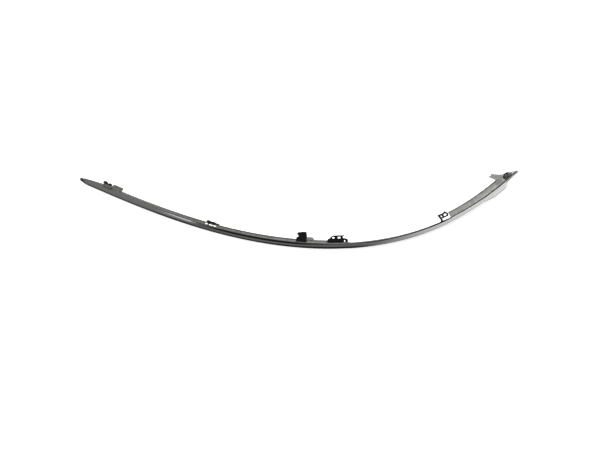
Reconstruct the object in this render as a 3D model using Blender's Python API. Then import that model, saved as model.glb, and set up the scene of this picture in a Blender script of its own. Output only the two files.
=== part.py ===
import bpy
import bmesh
import math
import numpy as np
from mathutils import Vector

# Curved bumper trim strip with its black clips. Metres, +Z up, chrome face towards -Y.
# The strip is shaped straight: s runs along it from the inner tip, d goes back from the
# face and z goes up. It is then bent to the plan curve, and the clips are set down on it.

# plan curve: nearly straight at the inner tip, tightest at the corner, easing off outside
trim_length = 0.8393
middle_place = 0.422
corner_place = 0.632
inner_radius = 10.5
middle_radius = 0.578
corner_radius = 0.385
outer_radius = 0.851

# section
face_height = 0.018
face_crown = 0.0008
wall = 0.0020
lower_round = 0.0022
upper_round = 0.0021
edge_width = 0.0022
outer_round = 0.0031
outer_edge_width = 0.0033
outer_edge_run_in = 0.016
edge_step = 0.0005
edge_slope = 0.0002
bead_height = 0.0004
bead_width = 0.0024
rim = 0.0001
flange_depth = 0.0082
outer_flange_start = 0.0131
outer_flange_end = 0.0146
outer_flange_grow = 0.090
lip_depth = 0.0050
lip_least = 0.0006
lip_run_in = 0.016

# inner tip: the flange runs out, the face rises off the floor and its top drops a little
inner_taper = 0.048
inner_rise = 0.016
inner_rise_height = 0.006
inner_drop = 0.012
inner_drop_height = 0.0030
tip_depth = 0.0016

# places of the flanges: the middle ones count from the middle, the outer ones from the outer tip
fade_from_middle = 0.0480
fade_length = 0.032
outer_flange_reach = 0.1590
flange_run_in = 0.0012
outer_point_reach = 0.0225
outer_rake_length = 0.0325
outer_cut_length = 0.0038
outer_cut_height = 0.0130
outer_tip_height = 0.0042
flare = 0.0048
flare_reach = 0.0860
flare_run_in = 0.024

# moulded features
seat_place = 0.0545
seat_length = 0.0145
seat_front = 0.0030
seat_depth = 0.0058
seat_rise = 0.0020
seat_corner = 0.0014
rear_tab_place = 0.0727
rear_tab_length = 0.0200
rear_tab_reach = 0.0060
tab_overlap = 0.0022
tab_step = 0.0003
slot_place = 0.2553
slot_length = 0.0200
slot_front = 0.0030
slot_width = 0.0034
middle_tab_length = 0.0094
middle_tab_slope = 0.0048
middle_tab_reach = 0.0051
tongue_from_tip = 0.0342
tongue_root = 0.0180
tongue_reach = 0.0141
tongue_tip = 0.0088
tongue_notch = 0.0022
rib_thickness = 0.0015
rib_count_inner = 5
rib_count_outer = 2
rib_margin = 0.020

# clips
clearance = 0.0003
bend_room = 0.0006
jaw = 0.0014
bar = 0.0016
plate_thickness = 0.0014
inner_clip_length = 0.0166
inner_clip_depth = 0.0050
inner_clip_drop = 0.0085
slot_clip_shift = 0.0027
slot_clip_length = 0.0220
locator_from_middle = -0.0055
locator_length = 0.0180
locator_depth = 0.0125
bracket_from_middle = 0.0558
bracket_length = 0.0346
bracket_depth = 0.0165
loop_length = 0.0182
loop_depth = 0.0158
loop_gap = 0.0014
outer_clip_from_tip = 0.0207
outer_clip_length = 0.0178
outer_clip_front = 0.0032
outer_clip_depth = 0.0096
cap_thickness = 0.0018

middle = trim_length / 2
flange_fade_start = middle + fade_from_middle
flange_fade_end = flange_fade_start + fade_length
outer_flange_place = trim_length - outer_flange_reach
outer_point_start = trim_length - outer_point_reach
outer_rake_start = trim_length - outer_rake_length
tongue_place = trim_length - tongue_from_tip
flange_top = face_height - edge_step
flange_under = flange_top - wall
bead_top = flange_top + bead_height
jaw_floor = bead_top + clearance
jaw_roof = flange_under - clearance
bare_depth = edge_width + edge_slope + rim

for old in list(bpy.data.objects):
    bpy.data.objects.remove(old, do_unlink=True)


def material(name, colour, metallic, roughness):
    made = bpy.data.materials.new(name)
    made.use_nodes = True
    shader = made.node_tree.nodes["Principled BSDF"]
    shader.inputs["Base Color"].default_value = (*colour, 1.0)
    shader.inputs["Metallic"].default_value = metallic
    shader.inputs["Roughness"].default_value = roughness
    return made


chrome = material("chrome", (0.72, 0.72, 0.71), 1.0, 0.12)
black = material("clip_black", (0.02, 0.02, 0.022), 0.0, 0.5)


# heading and place of the plan curve, turned so that both tips lie on one line
samples = 4001
along = np.linspace(0.0, trim_length, samples)
gap = along[1] - along[0]


def running(values):
    return np.concatenate([[0.0], np.cumsum((values[1:] + values[:-1]) / 2 * gap)])


bends = (1 / inner_radius, 1 / middle_radius, 1 / corner_radius, 1 / outer_radius)
bend = running(np.interp(along, (0.0, middle_place, corner_place, trim_length), bends))
chord_turn = math.atan2(running(np.sin(bend))[-1], running(np.cos(bend))[-1])
heading = bend - chord_turn
curve_x = running(np.cos(heading))
curve_y = running(np.sin(heading))


def on_curve(s, d):
    turn = float(np.interp(s, along, heading))
    x = float(np.interp(s, along, curve_x)) - math.sin(turn) * d
    y = float(np.interp(s, along, curve_y)) + math.cos(turn) * d
    return x, y, turn


def ramp(s, first, last):
    return min(1.0, max(0.0, (s - first) / (last - first)))


def flange_at(s):
    if s < outer_flange_place - flange_run_in / 2:
        grow = ramp(s, 0.0, inner_taper)
        least = tip_depth + (bare_depth - tip_depth) * grow
        fade = 1 - ramp(s, flange_fade_start, flange_fade_end)
        return least + (flange_depth - least) * grow * fade
    grow = ramp(s, outer_flange_place - flange_run_in / 2, outer_flange_place + flange_run_in / 2)
    wider = ramp(s, outer_flange_place, outer_flange_place + outer_flange_grow)
    wide = outer_flange_start + (outer_flange_end - outer_flange_start) * wider
    point = 1 - ramp(s, outer_point_start, trim_length)
    return bare_depth + (wide - bare_depth) * grow * point


def low_at(s):
    inner = inner_rise_height * (1 - ramp(s, 0.0, inner_rise)) ** 1.8
    cut = outer_cut_height * ramp(s, outer_rake_start, outer_rake_start + outer_cut_length)
    rest = face_height - outer_tip_height - outer_cut_height
    return inner + cut + rest * ramp(s, outer_rake_start + outer_cut_length, trim_length)


def high_at(s):
    return face_height - inner_drop_height * (1 - ramp(s, 0.0, inner_drop)) ** 1.5


def lip_at(s, inside):
    grow = ramp(s, 0.0, lip_run_in) * (1 - ramp(s, outer_rake_start, trim_length - lip_run_in))
    least = inside + lip_least
    return least + (lip_depth - least) * grow


# one ring of the section: from the lip under the floor edge, up the face, over the rolled
# edge and the flange, and back along the inside
def section(s):
    low = low_at(s)
    high = high_at(s)
    back = flange_at(s)
    inside = min(wall, back * 0.6)
    lip = min(lip_at(s, inside), max(back, lip_depth))
    tall = high - low
    under = min(lower_round, tall * 0.3, back * 0.5)
    wider = ramp(s, outer_flange_place, outer_flange_place + outer_edge_run_in)
    over = min(upper_round + (outer_round - upper_round) * wider, back * 0.5)
    ring = [(lip, low), ((lip + under) / 2, low)]
    for step in range(5):
        turn = math.radians(90 * step / 4)
        ring.append((under - under * math.sin(turn), low + under - under * math.cos(turn)))
    straight = tall - under - over
    for part in (0.2, 0.4, 0.6, 0.8):
        ring.append((-face_crown * 4 * part * (1 - part), low + under + straight * part))
    for step in range(5):
        turn = math.radians(90 * step / 4)
        ring.append((over - over * math.cos(turn), high - over + over * math.sin(turn)))
    edge = min(edge_width + (outer_edge_width - edge_width) * wider, back * 0.6)
    start = edge + min(edge_slope, back * 0.1)
    bead = min(bead_width, (back - start) * 0.5)
    top = high - edge_step
    hump = min(bead_height, bead * 0.4)
    ring.append((edge, high))
    ring.append((start, top))
    ring.append((back - bead, top))
    ring.append((back - bead * 0.72, top + hump))
    ring.append((back - bead * 0.45, top + hump))
    ring.append((back - bead * 0.20, top + hump - bead * 0.10))
    ring.append((back, top + hump - bead * 0.35))
    inner_top = max(top - wall, low + wall + lip_least)
    ring.append((back, inner_top))
    ring.append((inside, inner_top))
    ring.append((inside, low + wall))
    ring.append((lip, low + wall))
    lean = flare * ramp(s, trim_length - flare_reach, trim_length - flare_reach + flare_run_in)
    return [(d - lean * max(0.0, 1 - z / flange_under), z) for d, z in ring]


def mesh_object(name, bm, look):
    bmesh.ops.recalc_face_normals(bm, faces=bm.faces)
    mesh = bpy.data.meshes.new(name)
    bm.to_mesh(mesh)
    bm.free()
    made = bpy.data.objects.new(name, mesh)
    bpy.context.scene.collection.objects.link(made)
    mesh.materials.append(look)
    return made


def loft(name, places, look):
    bm = bmesh.new()
    rings = []
    for s in places:
        rings.append([bm.verts.new((s, d, z)) for d, z in section(s)])
    count = len(rings[0])
    for first, second in zip(rings, rings[1:]):
        for i in range(count):
            j = (i + 1) % count
            bm.faces.new((first[i], first[j], second[j], second[i]))
    bm.faces.new(rings[0])
    bm.faces.new(rings[-1])
    return mesh_object(name, bm, look)


# a flat outline pushed up between two heights, with its upright corners rounded
def prism(outline, low, high, corner=0.0, look=None, steps=3):
    bm = bmesh.new()
    verts = [bm.verts.new((x, y, low)) for x, y in outline]
    face = bm.faces.new(verts)
    pushed = bmesh.ops.extrude_face_region(bm, geom=[face])
    tops = [g for g in pushed["geom"] if isinstance(g, bmesh.types.BMVert)]
    bmesh.ops.translate(bm, verts=tops, vec=(0, 0, high - low))
    if corner > 0:
        upright = [e for e in bm.edges if abs(e.verts[0].co.z - e.verts[1].co.z) > (high - low) * 0.5]
        bmesh.ops.bevel(bm, geom=upright, offset=corner, segments=steps, profile=0.5, affect="EDGES")
    return mesh_object("helper", bm, look or black)


def box(x0, x1, y0, y1, low, high, corner=0.0, look=None):
    return prism([(x0, y0), (x1, y0), (x1, y1), (x0, y1)], low, high, corner, look)


def combine(target, helper, how):
    modifier = target.modifiers.new("combine", "BOOLEAN")
    modifier.operation = how
    modifier.solver = "EXACT"
    modifier.object = helper
    helper.hide_render = True
    helper.display_type = "WIRE"
    bpy.context.view_layer.update()
    graph = bpy.context.evaluated_depsgraph_get()
    solved = bpy.data.meshes.new_from_object(target.evaluated_get(graph))
    target.modifiers.clear()
    target.data = solved
    bpy.data.objects.remove(helper, do_unlink=True)


def finish(made, name, look):
    made.name = name
    made.data.name = name
    bm = bmesh.new()
    bm.from_mesh(made.data)
    bmesh.ops.remove_doubles(bm, verts=bm.verts, dist=0.000002)
    bmesh.ops.dissolve_degenerate(bm, dist=0.000002, edges=bm.edges)
    bmesh.ops.triangulate(bm, faces=bm.faces)
    bmesh.ops.recalc_face_normals(bm, faces=bm.faces)
    bm.to_mesh(made.data)
    bm.free()
    made.data.materials.clear()
    made.data.materials.append(look)
    for polygon in made.data.polygons:
        polygon.use_smooth = True
    made.data.set_sharp_from_angle(angle=math.radians(32))


def join(parts, name, look=None):
    body = parts[0]
    for part in parts[1:]:
        combine(body, part, "UNION")
    return body


# strip: stations every few millimetres and close together where its shape changes
spots = set(np.round(np.arange(0.0, trim_length, 0.0085), 5).tolist())
spots.update(np.round(np.linspace(0.0, inner_taper, 11), 5).tolist())
spots.update(np.round(np.linspace(flange_fade_start, flange_fade_end, 7), 5).tolist())
spots.update([outer_flange_place - flange_run_in / 2, outer_flange_place + flange_run_in / 2])
spots.add(outer_flange_place + outer_edge_run_in)
spots.update(np.round(np.linspace(outer_rake_start, trim_length, 11), 5).tolist())
spots.update([outer_point_start, outer_rake_start + outer_cut_length, trim_length])
spots.update([trim_length - flare_reach, trim_length - flare_reach + flare_run_in])
places = []
for spot in sorted(spots):
    if not places or spot - places[-1] > 0.0009:
        places.append(spot)
places[-1] = trim_length
strip = loft("trim_strip", places, chrome)

# clip seat: a low block on the flange, open towards the back
seat_back = seat_front + seat_depth
seat = box(seat_place - seat_length / 2, seat_place + seat_length / 2, seat_front, seat_back,
           flange_under + tab_step, flange_top + seat_rise, seat_corner, chrome)
combine(strip, seat, "UNION")

# rear tab behind the flange beside the seat, level with the bead
tab_low = flange_under + tab_step
tab_high = flange_top - tab_step
tab_level = bead_top + tab_step * 0.5
rear_tab = box(rear_tab_place - rear_tab_length / 2, rear_tab_place + rear_tab_length / 2,
               flange_depth - bead_width - tab_step, flange_depth + rear_tab_reach, tab_low, tab_level, 0.0012, chrome)
combine(strip, rear_tab, "UNION")

# middle tab beside the locator clip, with a sloping end
locator_place = middle + locator_from_middle
locator_half = locator_length / 2
tab_start = locator_place + locator_half + clearance
tab_base = flange_depth - tab_overlap
middle_tab = prism([(tab_start, tab_base), (tab_start + middle_tab_length + middle_tab_slope, tab_base),
                    (tab_start + middle_tab_length, flange_depth + middle_tab_reach),
                    (tab_start, flange_depth + middle_tab_reach)], tab_low, tab_high, 0.0006, chrome)
combine(strip, middle_tab, "UNION")

# forked tongue that points back along the strip
tongue_edge = flange_at(tongue_place - tongue_root / 2)
tongue_out = tongue_edge + tongue_reach
tongue_low = tongue_place - tongue_root / 2
tongue_high = tongue_place + tongue_root / 2
lean = tongue_tip * 0.72
tongue_base = tongue_edge - bead_width - tab_step
tongue = prism([(tongue_low, tongue_base), (tongue_high, tongue_base),
                (tongue_high, tongue_edge - tongue_notch * 0.25),
                (tongue_high - tongue_root * 0.33, tongue_edge + tongue_reach * 0.28),
                (tongue_low - lean + tongue_tip, tongue_out),
                (tongue_low - lean + tongue_tip * 0.55, tongue_out - tongue_notch),
                (tongue_low - lean, tongue_out - tongue_notch * 0.3)], tab_low, tab_level, 0.0, chrome)
combine(strip, tongue, "UNION")

# slot through the flange
slot = box(slot_place - slot_length / 2, slot_place + slot_length / 2, slot_front, slot_front + slot_width,
           flange_under - jaw, flange_top + jaw, 0.0010, chrome)
combine(strip, slot, "DIFFERENCE")

# cross ribs inside the channel
inner_first = rear_tab_place + rear_tab_length / 2 + rib_margin
inner_last = locator_place - locator_half - rib_margin / 2
outer_first = outer_flange_place + rib_margin
outer_last = tongue_place - tongue_root / 2 - rib_margin
rib_places = np.linspace(inner_first, inner_last, rib_count_inner).tolist()
rib_places += np.linspace(outer_first, outer_last, rib_count_outer).tolist()
for place in rib_places:
    rib = box(place - rib_thickness / 2, place + rib_thickness / 2, wall * 0.75, lip_depth * 0.9,
              wall * 0.75, flange_under + wall * 0.25, 0.0, chrome)
    combine(strip, rib, "UNION")

finish(strip, "trim_strip", chrome)
for vertex in strip.data.vertices:
    x, y, turn = on_curve(vertex.co.x, vertex.co.y)
    vertex.co = Vector((x, y, vertex.co.z))


def set_down(made, name, s):
    finish(made, name, black)
    x, y, turn = on_curve(s, 0.0)
    made.location = (x, y, 0.0)
    made.rotation_euler = (0.0, 0.0, turn)


# an outline given as shares of a clip's length and depth
def shaped(points, long, deep, start):
    return [(x * long, start + y * deep) for x, y in points]


# clip at the inner end: a stepped block behind the seat with a prong under the flange
back = seat_back + clearance
half = inner_clip_length / 2
clip_low = jaw_roof - inner_clip_drop * 0.7
clip_high = flange_top + seat_rise * 0.75
outline = [(-0.5, 0), (0.5, 0), (0.5, 0.62), (0.17, 0.84), (0.12, 0.40), (-0.24, 1.0), (-0.5, 0.76)]
block = prism(shaped(outline, inner_clip_length, inner_clip_depth, back), clip_low, clip_high)
prong = box(-half * 0.6, half * 0.6, lip_depth, back + bar * 0.5, clip_low + clearance, jaw_roof - clearance)
inner_clip = join([block, prong], "inner_end_clip")
inner_clip_place = seat_place - seat_length / 2 + half - bar * 2.2
set_down(inner_clip, "inner_end_clip", inner_clip_place)

# clip at the slot: it grips the flange's back edge, bars cross the slot and a hook goes through
edge = flange_depth + clearance + bend_room
half = slot_clip_length / 2
slot_end = slot_front + slot_width
spine = box(-half, half * 0.45, edge, edge + bar * 0.7, jaw_roof - jaw, jaw_floor + jaw * 0.6)
tail = box(half * 0.4, half, edge, edge + bar * 0.6, jaw_roof - jaw, flange_top)
top_bar = box(-half * 0.55, half * 0.45, slot_end + clearance, edge + bar * 0.5, jaw_floor, jaw_floor + jaw * 0.7)
blob = box(-half, -half * 0.55, slot_end + clearance, edge + bar, jaw_floor, jaw_floor + jaw * 1.2)
first = -half * 0.72
second = half * 0.02
bridge = box(first, first + bar, slot_front + clearance * 2, edge, jaw_floor, jaw_floor + jaw * 0.7)
other = box(second, second + bar, slot_front + clearance * 2, edge, jaw_floor, jaw_floor + jaw * 0.5)
hook = box(first, first + bar * 0.8, slot_front + clearance * 2, slot_end - clearance * 2,
           jaw_roof - jaw, jaw_floor + jaw * 0.5)
foot = box(-half * 0.75, half * 0.75, edge - bar * 1.6, edge + bar * 0.5, jaw_roof - jaw * 0.9, jaw_roof)
slot_clip = join([spine, tail, top_bar, blob, bridge, other, hook, foot], "slot_clip")
set_down(slot_clip, "slot_clip", slot_place + slot_clip_shift)

# locator clip: a flared block with a waist, its jaws over and under the flange
outline = [(-0.5, 0), (0.5, 0), (0.49, 0.30), (0.41, 1.0), (0.07, 1.0), (-0.12, 0.93), (-0.47, 0.84),
           (-0.39, 0.66), (-0.26, 0.41), (-0.31, 0.25), (-0.48, 0.06)]
under_low = jaw_roof - jaw * 1.7
head = prism(shaped(outline, locator_length, locator_depth, edge), under_low, jaw_floor + jaw * 0.8)
top_jaw = box(-locator_half, locator_half, slot_front, edge + bar * 0.7, jaw_floor, jaw_floor + jaw)
under_jaw = box(-locator_half * 0.8, locator_half * 0.8, lip_depth, edge + bar * 0.6, under_low + clearance, jaw_roof)
ridges = [box(x * locator_half, x * locator_half + bar * 0.6, lip_depth, edge + locator_depth * 0.8,
              jaw_floor + jaw * 0.5, jaw_floor + jaw * 1.5) for x in (-0.12, 0.16)]
locator = join([head, top_jaw, under_jaw] + ridges, "locator_clip")
eye = box(locator_half * 0.58, locator_half * 0.78, edge + clearance, edge + bar * 1.4,
          under_low - jaw, jaw_floor + jaw * 2)
combine(locator, eye, "DIFFERENCE")
set_down(locator, "locator_clip", locator_place)

# windowed bracket: a thin plate with two windows, a beak and an open hook at its end
plate_high = jaw_floor + plate_thickness
outline = [(-0.42, 0.22), (0.31, 0.21), (0.322, 0.43), (0.372, 0.44), (0.38, 0.24), (0.43, 0.19), (0.50, 0.24),
           (0.52, 0.38), (0.47, 0.54), (0.39, 0.61), (0.27, 0.64), (0.27, 0.88), (0.35, 0.97), (0.33, 1.01),
           (0.25, 0.97), (-0.23, 0.97), (-0.29, 0.86), (-0.50, 0.42), (-0.50, 0.31)]
plate = prism(shaped(outline, bracket_length, bracket_depth, 0.0), jaw_floor, plate_high)
for first, last, front in ((-0.25, -0.14, 0.59), (0.015, 0.145, 0.60)):
    cut = box(first * bracket_length, last * bracket_length, bracket_depth * front, bracket_depth * 0.84,
              jaw_floor - jaw, plate_high + jaw, bar * 0.5)
    combine(plate, cut, "DIFFERENCE")
drop = box(-bracket_length * 0.47, -bracket_length * 0.12, edge, edge + jaw * 0.9, jaw_roof - jaw, plate_high - clearance)
under_jaw = box(-bracket_length * 0.46, -bracket_length * 0.17, lip_depth + clearance * 2, edge + jaw * 0.5,
                jaw_roof - jaw * 0.9, jaw_roof)
for part in (drop, under_jaw):
    combine(plate, part, "UNION")
set_down(plate, "windowed_bracket", middle + bracket_from_middle)

# loop bracket: a frame with two windows on a leg that hooks over the bare top edge
loop_low = face_height + clearance
loop_high = loop_low + plate_thickness
outline = [(-0.5, 0.12), (-0.33, 0.12), (-0.33, 0.40), (0.40, 0.40), (0.50, 0.65), (0.33, 1.05), (0.0, 0.93),
           (-0.5, 0.97)]
ring = prism(shaped(outline, loop_length, loop_depth, 0.0), loop_low, loop_high)
for window in ([(-0.31, 0.55), (-0.17, 0.55), (-0.17, 0.76), (-0.31, 0.78)],
               [(0.01, 0.54), (0.28, 0.54), (0.34, 0.66), (0.24, 0.83), (0.01, 0.74)]):
    cut = prism(shaped(window, loop_length, loop_depth, 0.0), loop_low - jaw, loop_high + jaw)
    combine(ring, cut, "DIFFERENCE")
leg_low = -loop_length / 2
leg_high = leg_low + bar * 1.9
leaf = bare_depth + clearance
drop = box(leg_low, leg_high, leaf, leaf + bar, jaw_roof - jaw, loop_high - clearance)
prong = box(leg_low + clearance, leg_high - clearance, wall + clearance, leaf + bar * 0.5,
            jaw_roof - jaw * 0.9, jaw_roof)
for part in (drop, prong):
    combine(ring, part, "UNION")
set_down(ring, "loop_bracket", outer_flange_place - loop_gap - loop_length / 2)

# clip at the outer end: a cap over the flange, cut off along the flange's sloping end, with a boss
outline = [(-0.5, 0.08), (-0.12, 0.0), (0.45, 0.05), (0.33, 0.50), (0.20, 0.88), (0.0, 1.0), (-0.48, 0.80)]
cap = prism(shaped(outline, outer_clip_length, outer_clip_depth, outer_clip_front),
            jaw_floor, jaw_floor + cap_thickness, bar * 0.4)
boss_front = outer_clip_front + outer_clip_depth * 0.30
boss = box(-bar * 1.9, bar * 0.3, boss_front, boss_front + bar * 2,
           jaw_floor + cap_thickness * 0.5, jaw_floor + cap_thickness * 1.5, bar * 0.5)
outer_clip = join([cap, boss], "outer_end_clip")
set_down(outer_clip, "outer_end_clip", trim_length - outer_clip_from_tip)

# origin under the middle of the whole trim, on the floor
bpy.context.view_layer.update()
corners = []
for made in bpy.data.objects:
    corners += [made.matrix_world @ v.co for v in made.data.vertices]
middle_x = (min(c.x for c in corners) + max(c.x for c in corners)) / 2
middle_y = (min(c.y for c in corners) + max(c.y for c in corners)) / 2
floor = min(c.z for c in corners)
for made in bpy.data.objects:
    if made.name == "trim_strip":
        for vertex in made.data.vertices:
            vertex.co -= Vector((middle_x, middle_y, floor))
    else:
        made.location -= Vector((middle_x, middle_y, floor))
bpy.context.view_layer.update()
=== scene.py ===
import math

import bpy
from mathutils import Matrix, Vector


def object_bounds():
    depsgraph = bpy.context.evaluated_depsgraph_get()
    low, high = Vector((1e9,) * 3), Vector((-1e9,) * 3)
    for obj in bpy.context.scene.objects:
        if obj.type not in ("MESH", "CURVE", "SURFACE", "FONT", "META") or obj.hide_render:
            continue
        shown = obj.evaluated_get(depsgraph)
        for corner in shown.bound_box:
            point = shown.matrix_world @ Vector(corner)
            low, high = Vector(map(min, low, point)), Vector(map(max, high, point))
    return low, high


# the strip and its clips keep their own shapes: they get their finish here, and their stage
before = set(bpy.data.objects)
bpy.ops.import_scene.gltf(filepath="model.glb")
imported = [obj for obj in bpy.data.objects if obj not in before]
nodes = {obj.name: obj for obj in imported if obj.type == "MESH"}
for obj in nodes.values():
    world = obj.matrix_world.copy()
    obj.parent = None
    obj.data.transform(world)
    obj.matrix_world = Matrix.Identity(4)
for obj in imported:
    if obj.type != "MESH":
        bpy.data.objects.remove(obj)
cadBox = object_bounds()
print("loaded", sorted(nodes))

white = (1.0, 1.0, 1.0, 1.0)


# a node's output, for plain expressions: each operator in one adds its Math node
class Socket:
    def __init__(self, graph, link):
        self.graph = graph
        self.link = link

    def combine(self, how, *values):
        return self.graph.node("ShaderNodeMath", {"operation": how}, values)

    def __add__(self, other):
        return self.combine("ADD", self, other)

    def __radd__(self, other):
        return self.combine("ADD", other, self)

    def __sub__(self, other):
        return self.combine("SUBTRACT", self, other)

    def __rsub__(self, other):
        return self.combine("SUBTRACT", other, self)

    def __mul__(self, other):
        return self.combine("MULTIPLY", self, other)

    def __rmul__(self, other):
        return self.combine("MULTIPLY", other, self)

    def __abs__(self):
        return self.combine("ABSOLUTE", self)

    def larger(self, other):
        return self.combine("MAXIMUM", self, other)

    # goes from start to end while this value goes from low to high, and stays there outside them
    def between(self, low, high, start=0.0, end=1.0, shape="LINEAR"):
        return self.graph.node("ShaderNodeMapRange", {"interpolation_type": shape},
                               {0: self, 1: low, 2: high, 3: start, 4: end})

    # the shade at this value, from stops of place and shade
    def along(self, stops):
        first, last = stops[0][0], stops[-1][0]
        shares = [((place - first) / (last - first), shade) for place, shade in stops]
        return self.graph.node("ShaderNodeValToRGB", {"stops": shares}, [self.between(first, last)])


class Graph:
    def __init__(self, tree):
        self.tree = tree

    def put(self, target, value):
        if isinstance(value, Socket):
            self.tree.links.new(value.link, target)
        else:
            target.default_value = value

    def node(self, kind, settings, values, output=0):
        made = self.tree.nodes.new(kind)
        for name, value in settings.items():
            if name == "stops":
                setStops(made.color_ramp.elements, value)
            else:
                setattr(made, name, value)
        pairs = values.items() if isinstance(values, dict) else enumerate(values)
        for name, value in pairs:
            self.put(made.inputs[name], value)
        return Socket(self, made.outputs[output])

    def mixColour(self, factor, first, second):
        return self.node("ShaderNodeMix", {"data_type": "RGBA"}, {0: factor, 6: first, 7: second}, 2)

    def noise(self, spot, settings):
        return self.node("ShaderNodeTexNoise", {},
                         {"Vector": spot, "Scale": settings["scale"], "Detail": settings["detail"]})

    # the three parts of a vector
    def parts(self, vector):
        split = self.node("ShaderNodeSeparateXYZ", {}, [vector]).link.node
        return [Socket(self, output) for output in split.outputs]


def setStops(elements, stops):
    while len(elements) < len(stops):
        elements.new(0.5)
    for element, (place, shade) in zip(elements, stops):
        element.position = place
        element.color = (shade, shade, shade, 1.0)


def newMaterial(name):
    made = bpy.data.materials.new(name)
    made.use_nodes = True
    made.node_tree.nodes.clear()
    return made, Graph(made.node_tree)


def setSurface(graph, shader):
    end = graph.tree.nodes.new("ShaderNodeOutputMaterial")
    graph.put(end.inputs["Surface"], shader)


def setMaterial(piece, look):
    piece.data.materials.clear()
    piece.data.materials.append(look)


# the strip's line in plan: places along it in metres and the radius of its bend at each
curve = {
    "places": (0.0, 0.422, 0.632, 0.8393),
    "radii": (10.5, 0.578, 0.385, 0.851),
    "steps": 240,
    "crown": 0.0008,  # how far the face bulges in front of the line
    "beyond": 0.12,  # the line runs on straight past both tips
}


# the bend at a place along the strip, which changes evenly between the given ones
def bendAt(place):
    places, radii = curve["places"], curve["radii"]
    first = sum(place > end for end in places[1:-1])
    share = (place - places[first]) / (places[first + 1] - places[first])
    return 1 / radii[first] + (1 / radii[first + 1] - 1 / radii[first]) * share


def onward(spot, reach):
    x, y, turn = spot
    return x + math.cos(turn) * reach, y + math.sin(turn) * reach, turn


# spots of x, y and turn along the strip, its tips level, set on the strip's own box
def planLine(box):
    gap = curve["places"][-1] / curve["steps"]
    turns = [0.0]
    for step in range(curve["steps"]):
        turns.append(turns[-1] + bendAt((step + 0.5) * gap) * gap)
    level = math.atan2(sum(math.sin(turn) for turn in turns), sum(math.cos(turn) for turn in turns))
    spot = (0.0, 0.0, 0.0)
    spots = []
    for turn in turns:
        spot = (spot[0], spot[1], turn - level)
        spots.append(spot)
        spot = onward(spot, gap)
    toRight = box[0][0]
    toBack = box[0][1] + curve["crown"] - min(spot[1] for spot in spots)
    line = [(x + toRight, y + toBack, turn) for x, y, turn in spots]
    return [onward(line[0], -curve["beyond"]), *line, onward(line[-1], curve["beyond"])]


# polished on the face, satin on what faces up and dull on the inner wall
plating = {
    "faceColour": (0.62, 0.62, 0.62, 1.0),
    "faceRoughness": 0.06,
    "flangeColour": (0.535, 0.54, 0.515, 1.0),
    "flangeRoughness": 0.36,
    "flangeTilt": (0.965, 0.995),
    "insideColour": (0.24, 0.24, 0.235, 1.0),
    "insideRoughness": 0.45,
    "insideTilt": (0.30, 0.55),
    # the dark colour of the painted shade round the seat, of the darker marks and of the streaks of dirt
    "shadeAndGrime": (0.13, 0.125, 0.11, 1.0),
    "streaks": {"scale": 260.0, "detail": 2.0, "span": (0.38, 0.62), "share": 0.36},
    "mottle": {"scale": 60.0, "detail": 4.0, "depth": 0.06},
}

# darker marks on the outer flange: middle, half length and half width in metres, turn and strength
marks = [
    {"at": (0.3504, 0.0470), "half": (0.0062, 0.0024), "turn": 0.74, "soft": 0.0030, "share": 0.55},
    {"at": (0.2745, -0.0063), "half": (0.0006, 0.0003), "turn": 0.5, "soft": 0.0014, "share": 0.55},
    {"at": (0.2703, -0.0083), "half": (0.0006, 0.0003), "turn": 0.5, "soft": 0.0012, "share": 0.4},
    {"at": (0.2843, -0.0009), "half": (0.0008, 0.0003), "turn": 0.5, "soft": 0.0014, "share": 0.45},
    {"at": (0.2898, 0.0023), "half": (0.0008, 0.0003), "turn": 0.6, "soft": 0.0014, "share": 0.45},
    {"at": (0.2971, 0.0080), "half": (0.0010, 0.0003), "turn": 0.6, "soft": 0.0016, "share": 0.5},
]

# the seat's outline, with a painted shade along it in a line of this width, a share of it outside the seat
seat = {"at": (-0.3358, 0.0493), "half": (0.00725, 0.0029), "turn": -0.457,
        "line": 0.0015, "outward": 0.35, "share": 0.85}

# the inner tip, darker all round, and a painted highlight on the bit of flange at the outer tip
tips = {
    "inner": {"at": (-0.3845, 0.0702), "half": (0.0042, 0.0030), "turn": -0.457,
              "soft": 0.0050, "share": 0.9},
    "innerColour": (0.045, 0.045, 0.04, 1.0),
    "outer": {"at": (0.3770, 0.0700), "half": (0.0065, 0.0018), "turn": 0.60,
              "soft": 0.0022, "share": 1.0},
    "outerColour": (0.95, 0.95, 0.94, 1.0),
    "outerRoughness": 0.60,
}

# painted shading across the outer flange from its front to its back, lighter at the front and darker at the
# back, across metres behind the strip's line
flange = {
    "along": [(-0.40, 0.0), (0.28, 0.0), (0.315, 1.0), (0.40, 1.0)],
    "across": (0.003, 0.012),
    "front": (0.73, 0.735, 0.70, 1.0),
    "back": (0.46, 0.465, 0.44, 1.0),
    "every": 8,  # a ramp holds 32 stops, so it takes every eighth spot of the line
    "lift": 0.2,  # and nothing under 0, so the line is lifted by this in it
}

# a painted dark reflection on the upper part of the rolled edge: on the bare stretch between the flanges,
# and at the tip
edges = {
    "bare": {
        "along": [(-0.40, 0.0), (0.165, 0.0), (0.195, 0.8), (0.21, 1.0), (0.249, 1.0), (0.252, 0.0),
                  (0.40, 0.0)],
        "tilt": (0.30, 0.50),
    },
    "tip": {
        "along": [(-0.40, 0.0), (0.31, 0.0), (0.335, 0.45), (0.355, 0.60), (0.366, 0.75), (0.40, 0.75)],
        "tilt": (0.50, 0.70),
    },
    "colour": (0.03, 0.03, 0.028, 1.0),
}


# how far a place lies behind the strip's line, measured square to it
def behindLine(x, y, line):
    spots = line[:: flange["every"]]
    edge = x.along([(spot[0], spot[1] + flange["lift"]) for spot in spots])
    lean = x.along([(spot[0], math.cos(spot[2])) for spot in spots])
    return (y + flange["lift"] - edge) * lean


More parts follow.
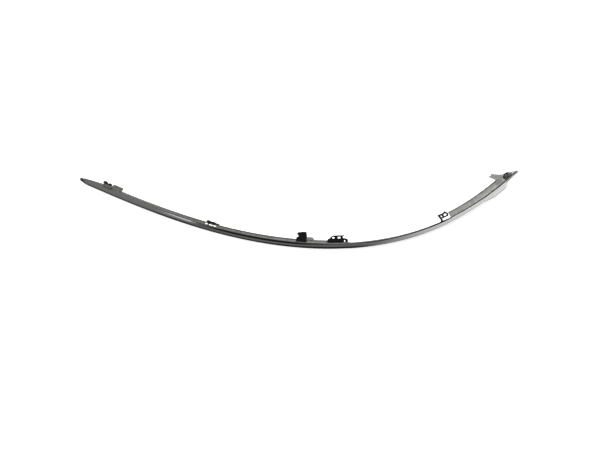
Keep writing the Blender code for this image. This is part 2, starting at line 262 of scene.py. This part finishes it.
# how far a place is outside a turned rectangle in plan, negative inside
def outside(x, y, area):
    sine, cosine = math.sin(area["turn"]), math.cos(area["turn"])
    dx = x - area["at"][0]
    dy = y - area["at"][1]
    along = abs(dx * cosine + dy * sine) - area["half"][0]
    across = abs(dy * cosine - dx * sine) - area["half"][1]
    return along.larger(across)


def softMark(x, y, mark):
    return outside(x, y, mark).between(0.0, mark["soft"], mark["share"], 0.0)


# where the painted dark reflection lies on the rolled edge, by its tilt and its place along the strip
def rolledEdge(upTilt, x, edge):
    return upTilt.between(*edge["tilt"]) * x.along(edge["along"])


# painted shade round the seat, darker marks, and dirt in faint streaks
def flangeShadeAndDirt(graph, spot, x, y):
    fromRim = abs(outside(x, y, seat) - seat["line"] * seat["outward"])
    darkening = fromRim.between(0.0, seat["line"], seat["share"], 0.0)
    for mark in marks:
        darkening = darkening.larger(softMark(x, y, mark))
    streaks = plating["streaks"]
    return darkening.larger(graph.noise(spot, streaks).between(*streaks["span"], 0.0, streaks["share"]))


def platingMaterial(line):
    made, graph = newMaterial("plating")
    spot = graph.node("ShaderNodeTexCoord", {}, {}, "Object")
    x, y = graph.parts(spot)[:2]
    backTilt, upTilt = graph.parts(graph.node("ShaderNodeNewGeometry", {}, {}, "Normal"))[1:]
    inside = backTilt.between(*plating["insideTilt"])
    upward = upTilt.between(*plating["flangeTilt"])
    # the painted dark reflection on the rolled edge
    edge = rolledEdge(upTilt, x, edges["bare"]).larger(rolledEdge(upTilt, x, edges["tip"]) * (1.0 - upward))
    # a painted highlight on the flange at the outer tip
    tipHighlight = softMark(x, y, tips["outer"])

    # painted shading across the outer flange: lighter at its front, darker at its back
    depth = behindLine(x, y, line).between(*flange["across"])
    shadedAcross = graph.mixColour(depth, flange["front"], flange["back"])
    colour = graph.mixColour(x.along(flange["along"]), plating["flangeColour"], shadedAcross)
    # painted shade round the seat, darker marks and streaks of dirt, in one dark colour
    colour = graph.mixColour(flangeShadeAndDirt(graph, spot, x, y), colour, plating["shadeAndGrime"])
    colour = graph.mixColour(upward, plating["faceColour"], colour)
    colour = graph.mixColour(edge, colour, edges["colour"])
    colour = graph.mixColour(tipHighlight, colour, tips["outerColour"])
    colour = graph.mixColour(softMark(x, y, tips["inner"]), colour, tips["innerColour"])
    colour = graph.mixColour(inside, colour, plating["insideColour"])

    face = plating["faceRoughness"]
    rough = upward * (plating["flangeRoughness"] - face) + face
    rough = rough + (graph.noise(spot, plating["mottle"]) - 0.5) * plating["mottle"]["depth"]
    rough = rough + inside * (plating["insideRoughness"] - face)
    rough = rough + tipHighlight * (1.0 - upward) * tips["outerRoughness"]
    setSurface(graph, graph.node("ShaderNodeBsdfPrincipled", {}, {
        "Base Color": colour, "Metallic": 1.0, "Roughness": rough,
    }))
    return made


# black on the large clips, a little greyer on the small ones and worn grey on the outer end clip
plastics = {
    "clipPlastic": {
        "colour": (0.005, 0.005, 0.0055, 1.0),
        "worn": (0.008, 0.008, 0.0085, 1.0),
        "specular": 0.18,
    },
    "greyPlastic": {
        "colour": (0.014, 0.014, 0.014, 1.0),
        "worn": (0.026, 0.026, 0.025, 1.0),
        "specular": 0.18,
    },
    "wornPlastic": {
        "colour": (0.035, 0.035, 0.034, 1.0),
        "worn": (0.19, 0.19, 0.18, 1.0),
        "specular": 0.2,
    },
}
plasticSurface = {
    "roughness": 0.5,
    "grain": {"scale": 900.0, "detail": 3.0, "strength": 0.15, "depth": 0.0002},
    "wear": {"scale": 170.0, "detail": 2.0, "span": (0.42, 0.62)},
}


def plasticMaterial(name, look):
    made, graph = newMaterial(name)
    spot = graph.node("ShaderNodeTexCoord", {}, {}, "Object")
    grain, wear = plasticSurface["grain"], plasticSurface["wear"]
    bump = graph.node("ShaderNodeBump", {}, {
        "Strength": grain["strength"], "Distance": grain["depth"], "Height": graph.noise(spot, grain),
    })
    worn = graph.noise(spot, wear).between(*wear["span"])
    setSurface(graph, graph.node("ShaderNodeBsdfPrincipled", {}, {
        "Base Color": graph.mixColour(worn, look["colour"], look["worn"]), "Normal": bump,
        "Roughness": plasticSurface["roughness"], "Specular IOR Level": look["specular"],
    }))
    return made


line = planLine(cadBox)
finishes = {name: plasticMaterial(name, look) for name, look in plastics.items()}
finishes["plating"] = platingMaterial(line)
pieceFinishes = {
    "trim_strip": "plating",
    "inner_end_clip": "greyPlastic",
    "slot_clip": "greyPlastic",
    "locator_clip": "clipPlastic",
    "windowed_bracket": "clipPlastic",
    "loop_bracket": "greyPlastic",
    "outer_end_clip": "wornPlastic",
}
for name, finish in pieceFinishes.items():
    setMaterial(nodes[name], finishes[finish])
print("materials set")

floor = {
    "size": 60.0,
    "colour": (0.86, 0.86, 0.86, 1.0),
    "lift": 0.78,  # makes it white to the camera and to mirrors, with no more light on the strip
}

# glowing lanes on the floor that only mirrors see, a painted reflection of the floor in front of the
# polished face: they follow the strip, each with its reach from the face and its shades along the strip
laneHeight = 0.0003
lanes = {
    "near": {
        "reach": (0.0, 0.0036),
        "shades": [(-0.42, 0.05), (-0.27, 0.045), (-0.21, 0.03), (-0.14, 0.035), (-0.06, 0.025),
                   (0.09, 0.025), (0.11, 0.09), (0.14, 0.33), (0.17, 0.42), (0.19, 0.45),
                   (0.215, 0.62), (0.30, 0.85), (0.42, 0.90)],
    },
    "middle": {
        "reach": (0.0036, 0.0078),
        "shades": [(-0.42, 0.15), (-0.27, 0.14), (-0.21, 0.045), (-0.18, 0.12), (-0.08, 0.12),
                   (-0.03, 0.075), (0.005, 0.055), (0.01, 0.04), (0.05, 0.04), (0.09, 0.06),
                   (0.115, 0.12), (0.14, 0.26), (0.17, 0.40), (0.215, 0.60), (0.26, 0.80), (0.42, 0.90)],
    },
    "far": {
        "reach": (0.0078, 0.016),
        "shades": [(-0.42, 0.22), (-0.27, 0.21), (-0.235, 0.24), (-0.205, 0.24), (-0.185, 0.16),
                   (-0.10, 0.21), (0.00, 0.22), (0.06, 0.20), (0.10, 0.18), (0.14, 0.24),
                   (0.19, 0.50), (0.26, 0.90), (0.42, 1.05)],
    },
    "outer": {
        "reach": (0.016, 0.030),
        "shades": [(-0.42, 0.20), (-0.27, 0.24), (-0.235, 0.34), (-0.205, 0.45), (-0.185, 0.12),
                   (-0.157, 0.015), (-0.005, 0.02), (0.02, 0.10), (0.05, 0.14), (0.10, 0.13),
                   (0.13, 0.06), (0.17, 0.08), (0.31, 0.12), (0.33, 1.0), (0.42, 1.25)],
    },
    "deep": {
        "reach": (0.030, 0.30),
        "shades": [(-0.42, 0.20), (-0.27, 0.24), (-0.235, 0.42), (-0.205, 0.85), (-0.185, 0.12),
                   (-0.157, 0.015), (-0.005, 0.02), (0.02, 0.10), (0.05, 0.14), (0.10, 0.13),
                   (0.13, 0.05), (0.17, 0.04), (0.355, 0.04), (0.375, 0.95), (0.42, 1.0)],
    },
}


def floorMaterial():
    made, graph = newMaterial("floor")
    seen = graph.node("ShaderNodeLightPath", {}, {}, "Is Camera Ray")
    mirrored = graph.node("ShaderNodeLightPath", {}, {}, "Is Glossy Ray")
    through = graph.node("ShaderNodeLightPath", {}, {}, "Is Transmission Ray")
    shown = graph.node("ShaderNodeMath", {"operation": "ADD", "use_clamp": True}, [seen + mirrored, through])
    plain = graph.node("ShaderNodeBsdfDiffuse", {}, {"Color": floor["colour"]})
    glow = graph.node("ShaderNodeEmission", {}, {"Color": white, "Strength": shown * floor["lift"]})
    setSurface(graph, graph.node("ShaderNodeAddShader", {}, [plain, glow]))
    return made


def laneMaterial(name, shades):
    made, graph = newMaterial(name)
    x = graph.parts(graph.node("ShaderNodeTexCoord", {}, {}, "Object"))[0]
    setSurface(graph, graph.node("ShaderNodeEmission", {}, {"Color": white, "Strength": x.along(shades)}))
    return made


def stagePiece(name, corners, faces, look):
    mesh = bpy.data.meshes.new(name)
    mesh.from_pydata(corners, [], faces)
    made = bpy.data.objects.new(name, mesh)
    bpy.context.scene.collection.objects.link(made)
    setMaterial(made, look)
    return made


def floorPanel():
    half = floor["size"] / 2
    corners = [(-half, -half, 0), (half, -half, 0), (half, half, 0), (-half, half, 0)]
    return stagePiece("floor", corners, [(0, 1, 2, 3)], floorMaterial())


# only mirrors see a lane
def laneStrip(name, line, lane):
    corners = []
    for x, y, turn in line:
        for reach in lane["reach"]:
            corners.append((x + math.sin(turn) * reach, y - math.cos(turn) * reach, laneHeight))
    faces = [(2 * i, 2 * i + 1, 2 * i + 3, 2 * i + 2) for i in range(len(line) - 1)]
    made = stagePiece(name, corners, faces, laneMaterial(name, lane["shades"]))
    for ray in ("camera", "diffuse", "shadow", "transmission"):
        setattr(made, "visible_" + ray, False)
    return made


floorPanel()
for name, lane in lanes.items():
    laneStrip(name + "Lane", line, lane)
print("stage set")

# one soft lamp from above, and a studio all round, dark behind the camera, pale behind the strip
# and brighter to the right: its shades are given by direction, from -1 at the left to 1 at the right
light = {
    "keyPlace": (-0.6, 0.5, 2.2),
    "keySize": 1.6,
    "keyPower": 42.0,
    "front": [(-1.0, 0.23), (-0.70, 0.23), (-0.58, 0.24), (-0.48, 0.015), (-0.05, 0.015), (-0.01, 0.06),
              (0.04, 0.13), (0.16, 0.14), (0.22, 0.10), (0.28, 0.025), (0.50, 0.02), (1.0, 0.04)],
    # a low lamp at the left, which the rolled edge mirrors as a bright streak
    "low": [(-1.0, 0.0), (-0.685, 0.0), (-0.66, 1.1), (-0.61, 1.6), (-0.594, 0.0), (1.0, 0.0)],
    "lowRise": (0.20, 0.45),
    "back": [(-1.0, 0.24), (-0.25, 0.24), (-0.20, 0.28), (-0.15, 0.40), (-0.10, 0.50), (0.02, 0.48),
             (0.12, 0.80), (0.20, 1.28), (0.30, 1.36), (0.50, 1.2), (1.0, 1.1)],
    # where the front goes over into the back, which is further back at the right
    "rise": (-0.05, 0.14),
    "riseShift": [(-1.0, 0.0), (0.12, 0.0), (0.36, 0.24), (0.60, 0.40), (1.0, 0.40)],
    # low down straight behind, the back is darker
    "fall": (0.38, 0.85),
    "fallShare": 0.40,
    # a faint round window high up at the left
    "windowTowards": (-0.52, -0.20, 0.83),
    "windowSpread": (0.965, 0.985),
    "windowShade": 0.25,
}


def keyLamp():
    data = bpy.data.lights.new("key", "AREA")
    data.shape = "DISK"
    data.size = light["keySize"]
    data.energy = light["keyPower"]
    made = bpy.data.objects.new("key", data)
    place = Vector(light["keyPlace"])
    made.location = place
    made.rotation_euler = (-place).to_track_quat("-Z", "Y").to_euler()
    made.visible_glossy = False
    bpy.context.scene.collection.objects.link(made)


def studioWorld():
    world = bpy.data.worlds.new("studio")
    bpy.context.scene.world = world
    world.use_nodes = True
    graph = Graph(world.node_tree)
    towards = graph.node("ShaderNodeTexCoord", {}, {}, "Generated")
    right, behind, up = graph.parts(towards)
    toBack = (behind - right.along(light["riseShift"])).between(*light["rise"], shape="SMOOTHSTEP")
    farBack = behind.between(*light["fall"], 1.0, light["fallShare"], "SMOOTHSTEP")
    low = up.between(*light["lowRise"], 1.0, 0.0, "SMOOTHSTEP")
    facing = graph.node("ShaderNodeVectorMath", {"operation": "DOT_PRODUCT"},
                        [towards, Vector(light["windowTowards"]).normalized()], "Value")
    window = facing.between(*light["windowSpread"], 0.0, light["windowShade"], "SMOOTHSTEP")
    front = right.along(light["front"]) + low * right.along(light["low"])
    back = right.along(light["back"])
    background = world.node_tree.nodes["Background"]
    graph.put(background.inputs["Color"], white)
    graph.put(background.inputs["Strength"], front * (1.0 - toBack) + back * toBack * farBack + window)


keyLamp()
studioWorld()

camera = {
    "aim": (-0.00059, -0.0233, 0.001),
    "distance": 1.437,
    "elevation": math.radians(60),
    "azimuth": math.radians(-1.02),
    "lens": 50.0,
    "sensor": 36.0,
}


def placeCamera():
    lens = bpy.data.cameras.new("camera")
    lens.lens = camera["lens"]
    lens.sensor_width = camera["sensor"]
    viewer = bpy.data.objects.new("camera", lens)
    away = Vector((0, -math.cos(camera["elevation"]), math.sin(camera["elevation"]))) * camera["distance"]
    away = Matrix.Rotation(camera["azimuth"], 3, "Z") @ away
    viewer.location = Vector(camera["aim"]) + away
    viewer.rotation_euler = (-away).to_track_quat("-Z", "Y").to_euler()
    bpy.context.scene.collection.objects.link(viewer)
    bpy.context.scene.camera = viewer


placeCamera()
bpy.context.scene.view_settings.view_transform = "Standard"
print("camera and lights set")
